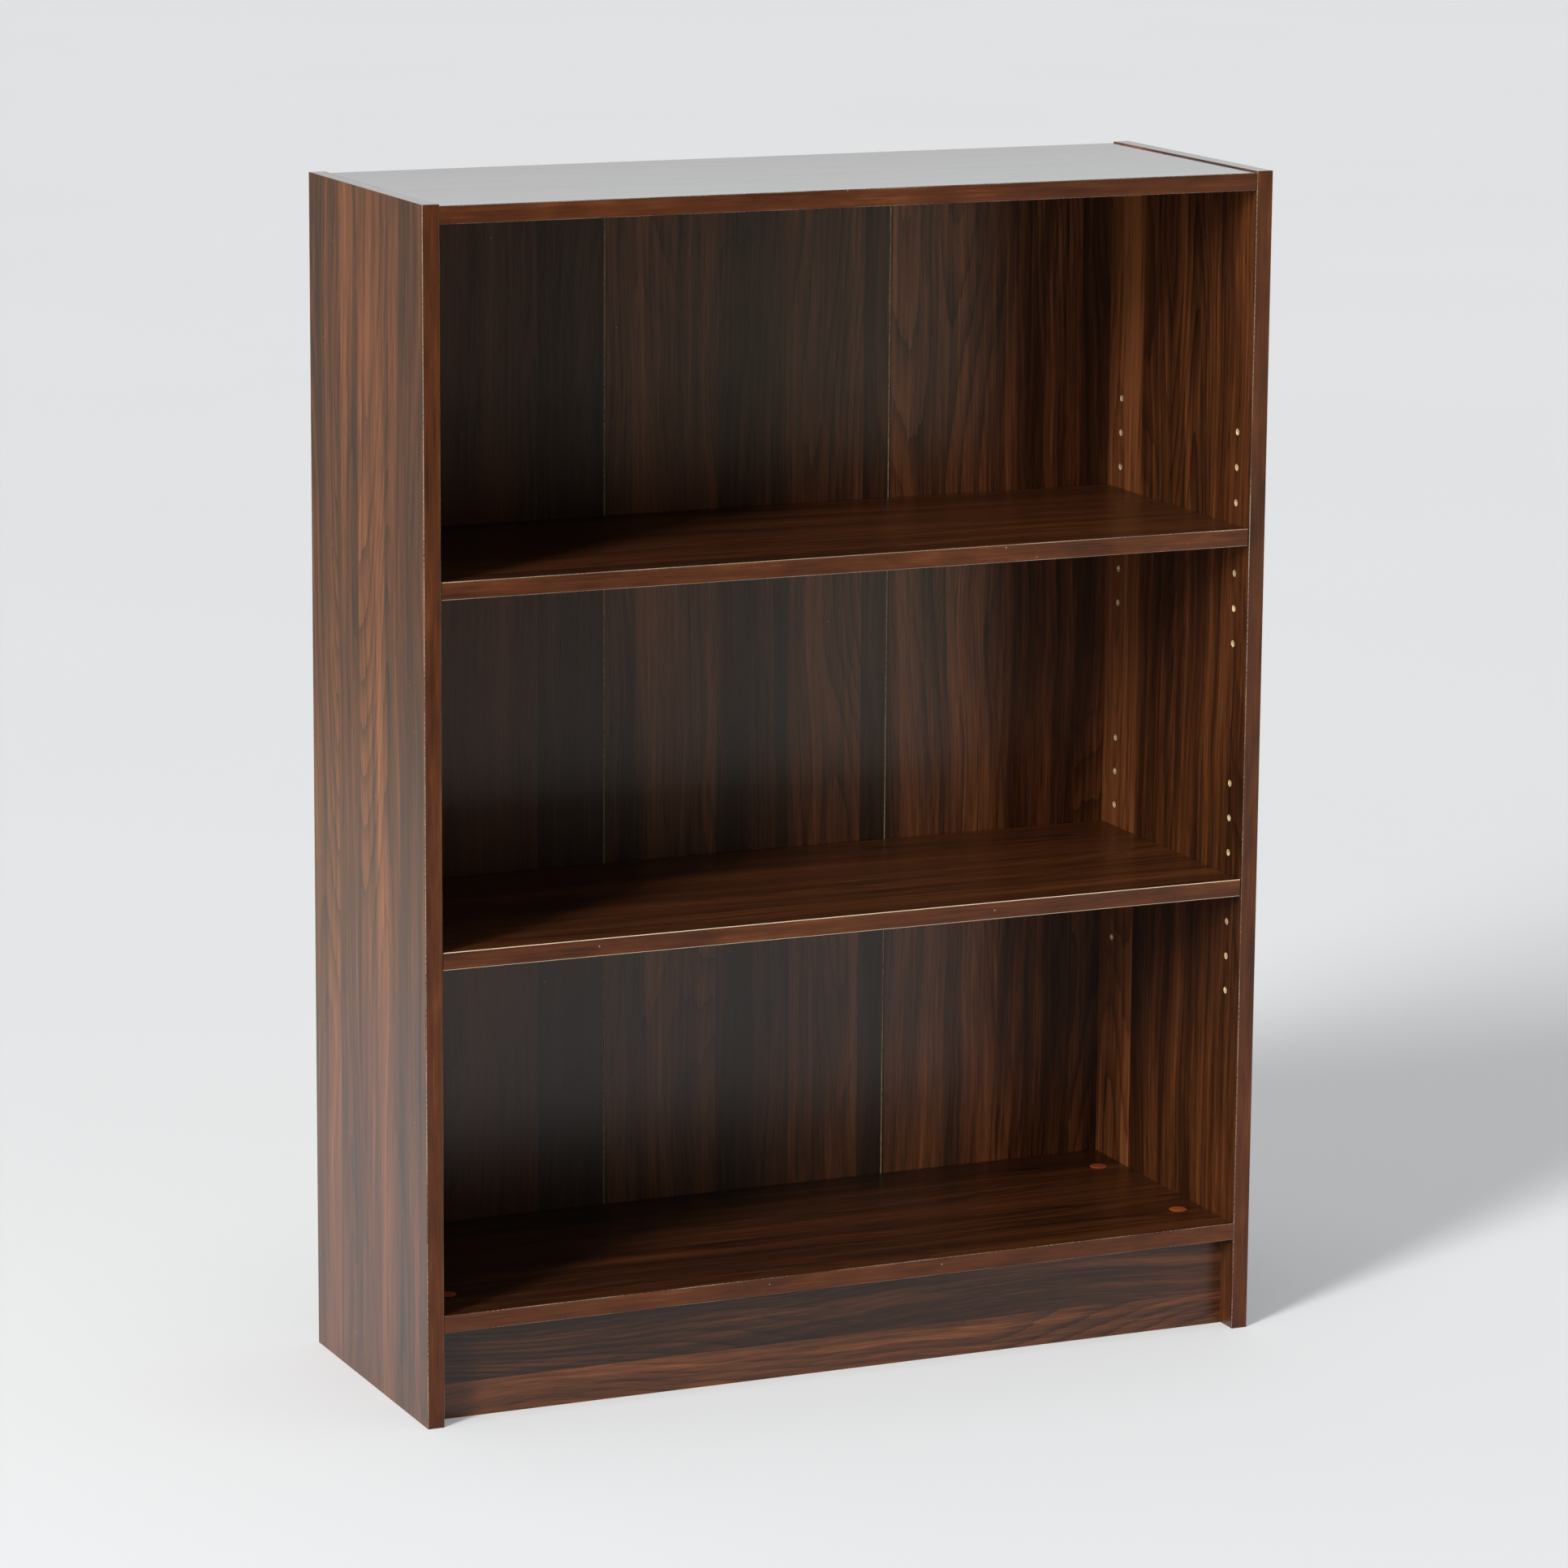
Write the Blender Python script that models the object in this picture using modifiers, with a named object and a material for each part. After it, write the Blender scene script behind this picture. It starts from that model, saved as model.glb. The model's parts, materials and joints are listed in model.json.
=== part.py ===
"""A bookcase with two adjustable shelves, knocked down for flat packing.

Two side panels stand on the floor. A top panel, a bottom panel and a plinth run between
them, held by cam locks and dowels. A thin back folded in three is nailed on the rear edges.
Each shelf rests on four steel pins that push into a row of holes, and grooves in its
underside hide them. Metres, +Z up, +Y to the back, origin on the floor at the middle.
"""

import math

import bmesh
import bpy
from mathutils import Matrix, Vector

# The carcass
WIDTH = 0.800
HEIGHT = 1.060
SIDE_DEPTH = 0.280
BOARD = 0.0155
GAP = 0.0003
BOTTOM_TOP_Z = 0.100
TOP_STEP = 0.0015
PLINTH_RECESS = 0.022
EDGING = 0.0004

# The back, in three leaves from left to right
BACK = 0.0027
BACK_INSET = 0.0015
BACK_LEAF_WIDTHS = {"left": 0.2765, "middle": 0.2795, "right": 0.2390}
FOLD_GAP = 0.0010
TAPE = 0.0004
TAPE_WIDTH = 0.030

# The shelves and the pins under them
SHELF_END_GAP = 0.0010
SHELF_FRONT_STEP = 0.0010
SHELF_REAR_GAP = 0.0020
HOLE_PITCH = 0.032
HOLES_PER_ROW = 7
REST_HOLE_FROM_TOP = 3
PIN_HOLE_RADIUS = 0.0027
PIN_HOLE_DEPTH = 0.010
PIN_Z = {"lower": 0.4088, "upper": 0.7288}
PIN_COLUMN_FROM_FRONT = 0.0265
PIN_COLUMN_FROM_REAR = 0.0260
PIN_RADIUS = 0.0024
PIN_LENGTH = 0.017
PIN_ABOVE_UNDERSIDE = 0.0031
GROOVE_HALF_WIDTH = 0.0029
GROOVE_LENGTH = 0.020

# The cam locks. A setback runs in from the side panel's inner face
CAM_SETBACK = 0.0255
CAM_Y = 0.081
CAM_RADIUS = 0.0075
CAM_DEPTH = 0.0115
CAM_POCKET_RADIUS = 0.0078
CAM_POCKET_DEPTH = 0.0120
CAM_HOLLOW_RADIUS = 0.0057
CAM_CORE_RADIUS = 0.0015
CAM_DRIVE_RADIUS = 0.0024
CAM_DRIVE_DEPTH = 0.0022
BOLT_THREAD_RADIUS = 0.0029
BOLT_THREAD_LENGTH = 0.0105
BOLT_SHAFT_RADIUS = 0.0030
BOLT_COLLAR_RADIUS = 0.0037
BOLT_NECK_RADIUS = 0.0018
BOLT_HEAD_RADIUS = 0.0029
BOLT_HEAD_LENGTH = 0.0022
BOLT_HOLE_RADIUS = 0.0041
CAP_RADIUS = 0.0083
CAP_HEIGHT = 0.0012
CAP_STEM_RADIUS = 0.0019
CAP_STEM_LENGTH = 0.0015

# The dowels
DOWEL_RADIUS = 0.0040
DOWEL_LENGTH = 0.028
DOWEL_IN_SIDE = 0.0095
DOWEL_Y = 0.049
DOWEL_CHAMFER = 0.0010
DOWEL_HOLE_SLACK = 0.0005

ROUND_STEPS = 12
CAM_STEPS = 20
CUT_PAST = 0.002

# Planes that several pieces share
OVERALL_DEPTH = SIDE_DEPTH + GAP + BACK + GAP + TAPE
FRONT_Y = -OVERALL_DEPTH / 2
SIDE_REAR_Y = FRONT_Y + SIDE_DEPTH
BACK_FRONT_Y = SIDE_REAR_Y + GAP
BACK_REAR_Y = BACK_FRONT_Y + BACK
CORE_FRONT_Y = FRONT_Y + EDGING + GAP
INNER_X = WIDTH / 2 - BOARD
TOP_Z = HEIGHT - TOP_STEP
BOTTOM_MID_Z = BOTTOM_TOP_Z - BOARD / 2
TOP_MID_Z = TOP_Z - BOARD / 2
BOTTOM_UNDER_Z = BOTTOM_TOP_Z - BOARD
PLINTH_FRONT_Y = FRONT_Y + PLINTH_RECESS
PLINTH_HEIGHT = BOTTOM_UNDER_Z - GAP
PIN_COLUMNS = {
    "front": FRONT_Y + PIN_COLUMN_FROM_FRONT,
    "rear": SIDE_REAR_Y - PIN_COLUMN_FROM_REAR,
}
CAM_ROWS = {"front": -CAM_Y, "rear": CAM_Y}
DOWEL_ROWS = {"front": -DOWEL_Y, "rear": DOWEL_Y}
PLINTH_DOWEL_Z = {"lower": PLINTH_HEIGHT * 0.27, "upper": PLINTH_HEIGHT * 0.73}
SIDES = {"left": -1, "right": 1}

# Colour, roughness and metallic value of each finish
FINISHES = {
    "side_laminate": ((0.080, 0.038, 0.022), 0.42, 0.0),
    "shelf_laminate": ((0.088, 0.042, 0.025), 0.40, 0.0),
    "back_laminate": ((0.070, 0.034, 0.020), 0.50, 0.0),
    "edging": ((0.085, 0.028, 0.012), 0.45, 0.0),
    "fold_tape": ((0.180, 0.110, 0.060), 0.80, 0.0),
    "nickel_steel": ((0.560, 0.550, 0.530), 0.30, 1.0),
    "zinc_alloy": ((0.480, 0.490, 0.500), 0.45, 1.0),
    "yellow_zinc": ((0.620, 0.500, 0.260), 0.35, 1.0),
    "beech": ((0.560, 0.380, 0.210), 0.75, 0.0),
    "cap_plastic": ((0.180, 0.035, 0.010), 0.45, 0.0),
}


def clear_scene():
    for obj in list(bpy.data.objects):
        bpy.data.objects.remove(obj, do_unlink=True)


def new_collection(name):
    collection = bpy.data.collections.new(name)
    bpy.context.scene.collection.children.link(collection)
    return collection


def make_finish(name):
    colour, roughness, metallic = FINISHES[name]
    material = bpy.data.materials.new(name)
    material.use_nodes = True
    shader = material.node_tree.nodes["Principled BSDF"]
    shader.inputs["Base Color"].default_value = (*colour, 1.0)
    shader.inputs["Roughness"].default_value = roughness
    shader.inputs["Metallic"].default_value = metallic
    material.diffuse_color = (*colour, 1.0)
    return material


def add_object(name, mesh, collection, location=(0, 0, 0), rotation=(0, 0, 0)):
    obj = bpy.data.objects.new(name, mesh)
    obj.location = location
    obj.rotation_euler = rotation
    collection.objects.link(obj)
    return obj


def fasten(obj, parent):
    """Parents obj and leaves it where it stands."""
    obj.parent = parent
    obj.matrix_parent_inverse = Matrix.Translation(-parent.location)


def add_block(bm, low, high):
    """One closed box between two corners, added to a mesh in the making."""
    low, high = Vector(low), Vector(high)
    size = Matrix.Diagonal((*(high - low), 1.0))
    bmesh.ops.create_cube(bm, size=1.0, matrix=Matrix.Translation((low + high) / 2) @ size)


def add_cylinder(bm, start, end, radius, steps=ROUND_STEPS):
    """One closed cylinder between two points, added to a mesh in the making."""
    start, end = Vector(start), Vector(end)
    along = end - start
    turn = along.to_track_quat("Z", "Y").to_matrix().to_4x4()
    bmesh.ops.create_cone(
        bm,
        cap_ends=True,
        segments=steps,
        radius1=radius,
        radius2=radius,
        depth=along.length,
        matrix=Matrix.Translation((start + end) / 2) @ turn,
    )


def mesh_from(bm, name):
    mesh = bpy.data.meshes.new(name)
    bm.to_mesh(mesh)
    bm.free()
    return mesh


def add_box(name, low, high, finish):
    """A square-edged board, strip or leaf between two corners."""
    low, high = Vector(low), Vector(high)
    half = (high - low) / 2
    bm = bmesh.new()
    add_block(bm, -half, half)
    mesh = mesh_from(bm, name)
    mesh.materials.append(finishes[finish])
    return add_object(name, mesh, parts, low + half)


def add_cutter(name, bm):
    cutter = add_object(name, mesh_from(bm, name), cutters)
    cutter.hide_render = True
    cutter.display_type = "WIRE"
    return cutter


def cut(obj, cutter):
    boolean = obj.modifiers.new(cutter.name, "BOOLEAN")
    boolean.operation = "DIFFERENCE"
    boolean.solver = "EXACT"
    boolean.object = cutter


def outline_mesh(name, outline, finish):
    """Half the outline of a round piece: (radius, height) points, top to bottom."""
    points = [(radius, 0, height) for radius, height in outline]
    edges = [(i, i + 1) for i in range(len(points) - 1)]
    mesh = bpy.data.meshes.new(name)
    mesh.from_pydata(points, edges, [])
    mesh.materials.append(finishes[finish])
    return mesh


def add_turned(name, outline, location, rotation=(0, 0, 0)):
    """A round piece: its outline turned about its own Z."""
    obj = add_object(name, outline, parts, location, rotation)
    turn = obj.modifiers.new("Turn", "SCREW")
    turn.axis = "Z"
    turn.steps = ROUND_STEPS
    turn.render_steps = ROUND_STEPS
    turn.use_merge_vertices = True
    turn.merge_threshold = 0.00001
    turn.use_smooth_shade = True
    return obj


def towards_side(hand):
    """The turn that lays a round piece's +Z towards a side panel."""
    return (0, hand * math.pi / 2, 0)


def pin_hole_heights(row):
    top = PIN_Z[row] + REST_HOLE_FROM_TOP * HOLE_PITCH
    return [top - i * HOLE_PITCH for i in range(HOLES_PER_ROW)]


def side_drilling():
    """Every hole in a side panel's inner face, as (y, z, radius, depth)."""
    holes = [
        (y, z, PIN_HOLE_RADIUS, PIN_HOLE_DEPTH)
        for y in PIN_COLUMNS.values()
        for row in PIN_Z
        for z in pin_hole_heights(row)
    ]
    bolt_hole = (BOLT_THREAD_RADIUS + GAP, BOLT_THREAD_LENGTH + GAP)
    dowel_hole = (DOWEL_RADIUS + GAP, DOWEL_IN_SIDE + DOWEL_HOLE_SLACK)
    for z in (TOP_MID_Z, BOTTOM_MID_Z):
        holes += [(y, z, *bolt_hole) for y in CAM_ROWS.values()]
        holes += [(y, z, *dowel_hole) for y in DOWEL_ROWS.values()]
    plinth_y = PLINTH_FRONT_Y + BOARD / 2
    return holes + [(plinth_y, z, *dowel_hole) for z in PLINTH_DOWEL_Z.values()]


def add_side_panel(side):
    """A side panel, drilled from its inner face for pins, cam bolts and dowels, and its edging."""
    hand = SIDES[side]
    name = f"{side}_side_panel"
    low_x, high_x = sorted((hand * INNER_X, hand * WIDTH / 2))
    panel = add_box(name, (low_x, CORE_FRONT_Y, 0), (high_x, SIDE_REAR_Y, HEIGHT), "side_laminate")
    bm = bmesh.new()
    for y, z, radius, depth in side_drilling():
        mouth = (hand * (INNER_X - CUT_PAST), y, z)
        add_cylinder(bm, mouth, (hand * (INNER_X + depth), y, z), radius)
    cut(panel, add_cutter(f"{name}_drilling", bm))
    high = (high_x, FRONT_Y + EDGING, HEIGHT)
    add_box(f"{side}_side_edging", (low_x, FRONT_Y, 0), high, "edging")


def add_end_dowel_holes(bm, places):
    """Holes in both ends of a board, at each (y, z), for the inner part of a dowel."""
    depth = DOWEL_LENGTH - DOWEL_IN_SIDE + DOWEL_HOLE_SLACK
    for hand in SIDES.values():
        for y, z in places:
            mouth = (hand * (INNER_X + CUT_PAST), y, z)
            add_cylinder(bm, mouth, (hand * (INNER_X - depth), y, z), DOWEL_RADIUS + GAP)


def add_fixed_panel(level, top_z, facing):
    """The top or bottom panel, with pockets for four cams in its upper (1) or lower (-1) face."""
    name = f"{level}_panel"
    end = INNER_X - GAP
    low = (-end, CORE_FRONT_Y, top_z - BOARD)
    panel = add_box(name, low, (end, SIDE_REAR_Y, top_z), "shelf_laminate")
    mid_z = top_z - BOARD / 2
    face_z = mid_z + facing * BOARD / 2
    pockets = bmesh.new()
    drilling = bmesh.new()
    for hand in SIDES.values():
        for y in CAM_ROWS.values():
            x = hand * (INNER_X - CAM_SETBACK)
            floor = (x, y, face_z - facing * CAM_POCKET_DEPTH)
            mouth = (x, y, face_z + facing * CUT_PAST)
            add_cylinder(pockets, floor, mouth, CAM_POCKET_RADIUS, CAM_STEPS)
            mouth = (hand * (INNER_X + CUT_PAST), y, mid_z)
            add_cylinder(drilling, mouth, (x, y, mid_z), BOLT_HOLE_RADIUS)
    add_end_dowel_holes(drilling, [(y, mid_z) for y in DOWEL_ROWS.values()])
    cut(panel, add_cutter(f"{name}_cam_pockets", pockets))
    cut(panel, add_cutter(f"{name}_end_drilling", drilling))
    low = (-end, FRONT_Y, top_z - BOARD)
    add_box(f"{level}_edging", low, (end, FRONT_Y + EDGING, top_z), "edging")


def add_plinth():
    """The kick board under the bottom panel, set back from the front and dowelled at its ends."""
    end = INNER_X - GAP
    high = (end, PLINTH_FRONT_Y + BOARD, PLINTH_HEIGHT)
    plinth = add_box("plinth", (-end, PLINTH_FRONT_Y, 0), high, "shelf_laminate")
    bm = bmesh.new()
    mid_y = PLINTH_FRONT_Y + BOARD / 2
    add_end_dowel_holes(bm, [(mid_y, z) for z in PLINTH_DOWEL_Z.values()])
    cut(plinth, add_cutter("plinth_end_drilling", bm))


def add_back():
    """Three leaves of thin board side by side, with tape over each fold on the rear face."""
    low_z = BOTTOM_UNDER_Z + BACK_INSET
    high_z = TOP_Z - BACK_INSET
    tape_y = BACK_REAR_Y + GAP
    x = -(sum(BACK_LEAF_WIDTHS.values()) + 2 * FOLD_GAP) / 2
    folds = []
    for place, width in BACK_LEAF_WIDTHS.items():
        high = (x + width, BACK_REAR_Y, high_z)
        add_box(f"back_leaf_{place}", (x, BACK_FRONT_Y, low_z), high, "back_laminate")
        folds.append(x + width + FOLD_GAP / 2)
        x += width + FOLD_GAP
    for side, fold in zip(SIDES, folds):
        low = (fold - TAPE_WIDTH / 2, tape_y, low_z)
        high = (fold + TAPE_WIDTH / 2, tape_y + TAPE, high_z)
        add_box(f"back_fold_tape_{side}", low, high, "fold_tape")


def cut_pin_grooves(shelf, under_z):
    """Four grooves with round inner ends, open at the shelf's ends and underside."""
    ceiling = under_z + PIN_ABOVE_UNDERSIDE + PIN_RADIUS + GAP
    floor = under_z - CUT_PAST
    inner = INNER_X - GROOVE_LENGTH + GROOVE_HALF_WIDTH
    straights = bmesh.new()
    ends = bmesh.new()
    for hand in SIDES.values():
        low_x, high_x = sorted((hand * inner, hand * (INNER_X + CUT_PAST)))
        for y in PIN_COLUMNS.values():
            high = (high_x, y + GROOVE_HALF_WIDTH, ceiling)
            add_block(straights, (low_x, y - GROOVE_HALF_WIDTH, floor), high)
            add_cylinder(ends, (hand * inner, y, floor), (hand * inner, y, ceiling), GROOVE_HALF_WIDTH)
    cut(shelf, add_cutter(f"{shelf.name}_grooves", straights))
    cut(shelf, add_cutter(f"{shelf.name}_groove_ends", ends))


def add_shelf(row):
    """An adjustable shelf with its edging and its four pins, which ride on it."""
    name = f"{row}_shelf"
    under_z = PIN_Z[row] - PIN_ABOVE_UNDERSIDE
    end = INNER_X - SHELF_END_GAP
    front = FRONT_Y + SHELF_FRONT_STEP
    high = (end, BACK_FRONT_Y - SHELF_REAR_GAP, under_z + BOARD)
    shelf = add_box(name, (-end, front + EDGING + GAP, under_z), high, "shelf_laminate")
    cut_pin_grooves(shelf, under_z)
    high = (end, front + EDGING, under_z + BOARD)
    fasten(add_box(f"{name}_edging", (-end, front, under_z), high, "edging"), shelf)
    for side, hand in SIDES.items():
        for column, y in PIN_COLUMNS.items():
            place = (hand * INNER_X, y, PIN_Z[row])
            pin = add_turned(f"shelf_pin_{row}_{column}_{side}", pin_outline, place, towards_side(hand))
            fasten(pin, shelf)


def make_pin_outline():
    """A steel pin, chamfered at both ends, with a shallow grip groove round its middle."""
    half = PIN_LENGTH / 2
    chamfer = 0.0004
    grip_half = 0.0009
    outline = [
        (0, half),
        (PIN_RADIUS - chamfer, half),
        (PIN_RADIUS, half - chamfer),
        (PIN_RADIUS, grip_half),
        (PIN_RADIUS - chamfer, grip_half - chamfer),
        (PIN_RADIUS - chamfer, chamfer - grip_half),
        (PIN_RADIUS, -grip_half),
        (PIN_RADIUS, chamfer - half),
        (PIN_RADIUS - chamfer, -half),
        (0, -half),
    ]
    return outline_mesh("shelf_pin", outline, "nickel_steel")


def make_dowel_outline():
    """A beech dowel. Height 0 is the side panel's inner face, and + is into the side panel."""
    top = DOWEL_IN_SIDE
    bottom = DOWEL_IN_SIDE - DOWEL_LENGTH
    outline = [
        (0, top),
        (DOWEL_RADIUS - DOWEL_CHAMFER, top),
        (DOWEL_RADIUS, top - DOWEL_CHAMFER),
        (DOWEL_RADIUS, bottom + DOWEL_CHAMFER),
        (DOWEL_RADIUS - DOWEL_CHAMFER, bottom),
        (0, bottom),
    ]
    return outline_mesh("dowel", outline, "beech")


def make_bolt_outline():
    """A cam bolt: threaded tip in the side panel, collar, shaft, neck, and a head in the cam."""
    head_end = CAM_SETBACK - CAM_CORE_RADIUS - 2 * GAP
    neck_start = CAM_SETBACK - CAM_RADIUS - 4 * GAP
    collar = 0.0010
    taper = 0.0020
    outline = [
        (0, BOLT_THREAD_LENGTH),
        (BOLT_THREAD_RADIUS / 2, BOLT_THREAD_LENGTH),
        (BOLT_THREAD_RADIUS, BOLT_THREAD_LENGTH - taper),
        (BOLT_THREAD_RADIUS, -GAP),
        (BOLT_COLLAR_RADIUS, -GAP),
        (BOLT_COLLAR_RADIUS, -collar),
        (BOLT_SHAFT_RADIUS, -collar),
        (BOLT_SHAFT_RADIUS, -neck_start),
        (BOLT_NECK_RADIUS, -neck_start),
        (BOLT_NECK_RADIUS, BOLT_HEAD_LENGTH - head_end),
        (BOLT_HEAD_RADIUS, BOLT_HEAD_LENGTH - head_end),
        (BOLT_HEAD_RADIUS, BOLT_HEAD_LENGTH / 2 - head_end),
        (BOLT_HEAD_RADIUS / 2, -head_end),
        (0, -head_end),
    ]
    return outline_mesh("cam_bolt", outline, "yellow_zinc")


def make_cap_outline():
    """A cover cap: a low domed disc on the panel, and a stem that plugs the cam's drive recess."""
    outline = [
        (0, CAP_HEIGHT),
        (CAP_RADIUS * 0.75, CAP_HEIGHT * 0.92),
        (CAP_RADIUS, CAP_HEIGHT * 0.4),
        (CAP_RADIUS, GAP),
        (CAP_STEM_RADIUS, GAP),
        (CAP_STEM_RADIUS, -CAP_STEM_LENGTH),
        (0, -CAP_STEM_LENGTH),
    ]
    return outline_mesh("cam_cap", outline, "cap_plastic")


def half_hollow(name, radius, half_height, far_y):
    """A round hollow about the cam's axis, up to far_y, less the core that joins the cam's ends."""
    reach = 2 * radius
    round_space, solid_side, core = bmesh.new(), bmesh.new(), bmesh.new()
    add_cylinder(round_space, (0, 0, -half_height), (0, 0, half_height), radius, CAM_STEPS)
    add_block(solid_side, (-reach, far_y, -reach), (reach, reach, reach))
    add_cylinder(core, (0, 0, -reach), (0, 0, reach), CAM_CORE_RADIUS)
    hollow = add_cutter(name, round_space)
    cut(hollow, add_cutter(f"{name}_solid_side", solid_side))
    cut(hollow, add_cutter(f"{name}_core", core))
    return hollow


def add_cam_block_cutter(name, low, high):
    bm = bmesh.new()
    add_block(bm, low, high)
    return add_cutter(name, bm)


def make_cam_mesh():
    """One cam, its origin on its axis at the bolt's height, locked on a bolt that comes from +X.

    The bolt's head lies in a hollow and its neck in a narrower slot. Both run half way
    round, so the cam turns 180 degrees, to where a full-height window lets the head out.
    """
    face_z = BOARD / 2 - (CAM_POCKET_DEPTH - CAM_DEPTH) / 2
    floor = face_z - CAM_DRIVE_DEPTH
    head_room = BOLT_HEAD_RADIUS + GAP
    neck_room = BOLT_NECK_RADIUS + 2 * GAP
    past_rim = 1.2 * CAM_RADIUS
    arm = 0.62 * CAM_RADIUS
    blade = 0.0009
    bm = bmesh.new()
    add_cylinder(bm, (0, 0, face_z - CAM_DEPTH), (0, 0, face_z), CAM_RADIUS, CAM_STEPS)
    body = add_object("cam_body", mesh_from(bm, "cam_body"), parts)
    cut(body, half_hollow("cam_hollow", CAM_HOLLOW_RADIUS, head_room, head_room))
    cut(body, half_hollow("cam_slot", past_rim, neck_room, neck_room))
    window = (-CAM_CORE_RADIUS - GAP, head_room, head_room)
    cut(body, add_cam_block_cutter("cam_window", (-past_rim, -head_room, -head_room), window))
    bm = bmesh.new()
    add_cylinder(bm, (0, 0, floor), (0, 0, face_z + CUT_PAST), CAM_DRIVE_RADIUS)
    cut(body, add_cutter("cam_drive_bore", bm))
    slot = (arm, blade, face_z + CUT_PAST)
    cut(body, add_cam_block_cutter("cam_drive_slot", (-arm, -blade, floor + GAP), slot))
    bpy.context.view_layer.update()
    evaluated = body.evaluated_get(bpy.context.evaluated_depsgraph_get())
    mesh = bpy.data.meshes.new_from_object(evaluated)
    mesh.name = "cam"
    mesh.materials.clear()
    mesh.materials.append(finishes["zinc_alloy"])
    mesh.shade_smooth()
    mesh.set_sharp_from_angle(angle=math.radians(35))
    for obj in [body, *cutters.objects]:
        bpy.data.objects.remove(obj, do_unlink=True)
    return mesh


def add_cam_joint(level, row, side, mid_z, facing):
    """One cam lock, facing up (1) or down (-1), its bolt, and on the bottom panel its cap."""
    hand = SIDES[side]
    y = CAM_ROWS[row]
    place = f"{level}_{row}_{side}"
    add_turned(f"cam_bolt_{place}", bolt_outline, (hand * INNER_X, y, mid_z), towards_side(hand))
    tilt = 0 if facing > 0 else math.pi
    spin = 0 if hand > 0 else math.pi
    x = hand * (INNER_X - CAM_SETBACK)
    add_object(f"cam_{place}", cam_shape, parts, (x, y, mid_z), (tilt, 0, spin))
    if level == "bottom":
        add_turned(f"cam_cap_{row}_{side}", cap_outline, (x, y, mid_z + BOARD / 2))


def add_fasteners():
    """Every cam lock and dowel of the carcass."""
    levels = {"top": (TOP_MID_Z, -1), "bottom": (BOTTOM_MID_Z, 1)}
    for level, (mid_z, facing) in levels.items():
        for side, hand in SIDES.items():
            for row in CAM_ROWS:
                add_cam_joint(level, row, side, mid_z, facing)
            for row, y in DOWEL_ROWS.items():
                place = (hand * INNER_X, y, mid_z)
                add_turned(f"dowel_{level}_{row}_{side}", dowel_outline, place, towards_side(hand))
    for side, hand in SIDES.items():
        for row, z in PLINTH_DOWEL_Z.items():
            place = (hand * INNER_X, PLINTH_FRONT_Y + BOARD / 2, z)
            add_turned(f"plinth_dowel_{row}_{side}", dowel_outline, place, towards_side(hand))


def gather_carcass():
    """Parents everything that doesn't ride on a shelf to one empty at the origin."""
    carcass = add_object("carcass", None, parts)
    for obj in parts.objects:
        if obj is not carcass and obj.parent is None:
            fasten(obj, carcass)


clear_scene()
parts = new_collection("bookcase")
cutters = new_collection("bookcase_cutters")
finishes = {name: make_finish(name) for name in FINISHES}
pin_outline = make_pin_outline()
dowel_outline = make_dowel_outline()
bolt_outline = make_bolt_outline()
cap_outline = make_cap_outline()
cam_shape = make_cam_mesh()
for side_name in SIDES:
    add_side_panel(side_name)
add_fixed_panel("top", TOP_Z, facing=-1)
add_fixed_panel("bottom", BOTTOM_TOP_Z, facing=1)
add_plinth()
add_back()
for row_name in PIN_Z:
    add_shelf(row_name)
add_fasteners()
gather_carcass()
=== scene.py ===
"""The looks of the bookcase: finer boards, edging, hardware, walnut print, light and camera.

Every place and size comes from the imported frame, in metres, +Z up, the open front facing -Y.
"""

import json
import math
import random

import bmesh
import bpy
from mathutils import Matrix, Vector


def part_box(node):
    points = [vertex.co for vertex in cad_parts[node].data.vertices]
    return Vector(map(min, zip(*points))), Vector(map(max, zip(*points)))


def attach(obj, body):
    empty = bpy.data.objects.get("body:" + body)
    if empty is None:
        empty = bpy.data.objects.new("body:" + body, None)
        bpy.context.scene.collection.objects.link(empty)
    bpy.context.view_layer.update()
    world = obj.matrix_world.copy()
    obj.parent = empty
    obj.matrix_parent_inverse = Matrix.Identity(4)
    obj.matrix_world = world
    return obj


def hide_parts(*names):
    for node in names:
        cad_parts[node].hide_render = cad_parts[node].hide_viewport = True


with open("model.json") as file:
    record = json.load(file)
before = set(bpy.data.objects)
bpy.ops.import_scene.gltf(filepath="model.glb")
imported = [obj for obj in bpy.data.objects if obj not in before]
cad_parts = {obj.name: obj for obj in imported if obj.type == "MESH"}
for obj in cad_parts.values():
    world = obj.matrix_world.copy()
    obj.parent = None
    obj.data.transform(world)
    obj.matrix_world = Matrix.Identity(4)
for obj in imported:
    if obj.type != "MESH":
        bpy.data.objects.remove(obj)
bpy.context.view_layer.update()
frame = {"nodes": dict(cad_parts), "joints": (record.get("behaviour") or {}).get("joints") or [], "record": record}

# Details finer than the solids
ARRIS = 0.00035
HOLE_STEPS = 28
TURN_STEPS = 36
CAP_STEPS = 48
NAIL_STEPS = 20
GROOVE_END_STEPS = 14
CUT_PAST = 0.002
CLEARANCE = 0.0003
SLACK = 0.0005
TINY = 1e-6
HOLE_CHAMFER = 0.00035
HOLE_PITCH = 0.032
PIN_HOLE_RADIUS = 0.0027
PIN_HOLE_DEPTH = 0.010
BOLT_THREAD_RADIUS = 0.0029
CAP_STEM_RADIUS = 0.0019
BACK_ARRIS = 0.00025
EDGING_CHAMFER = 0.8
PIN_ROUND_OFF = 0.0005
PIN_GRIP = 0.0009
NAIL_PITCH = 0.115
NAIL_FROM_EDGE = 0.007
NAIL_HEAD = 0.0028
NAIL_THICKNESS = 0.0005
NAIL_STRAY_ACROSS = 0.0015
NAIL_STRAY_UP = 0.004

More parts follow.
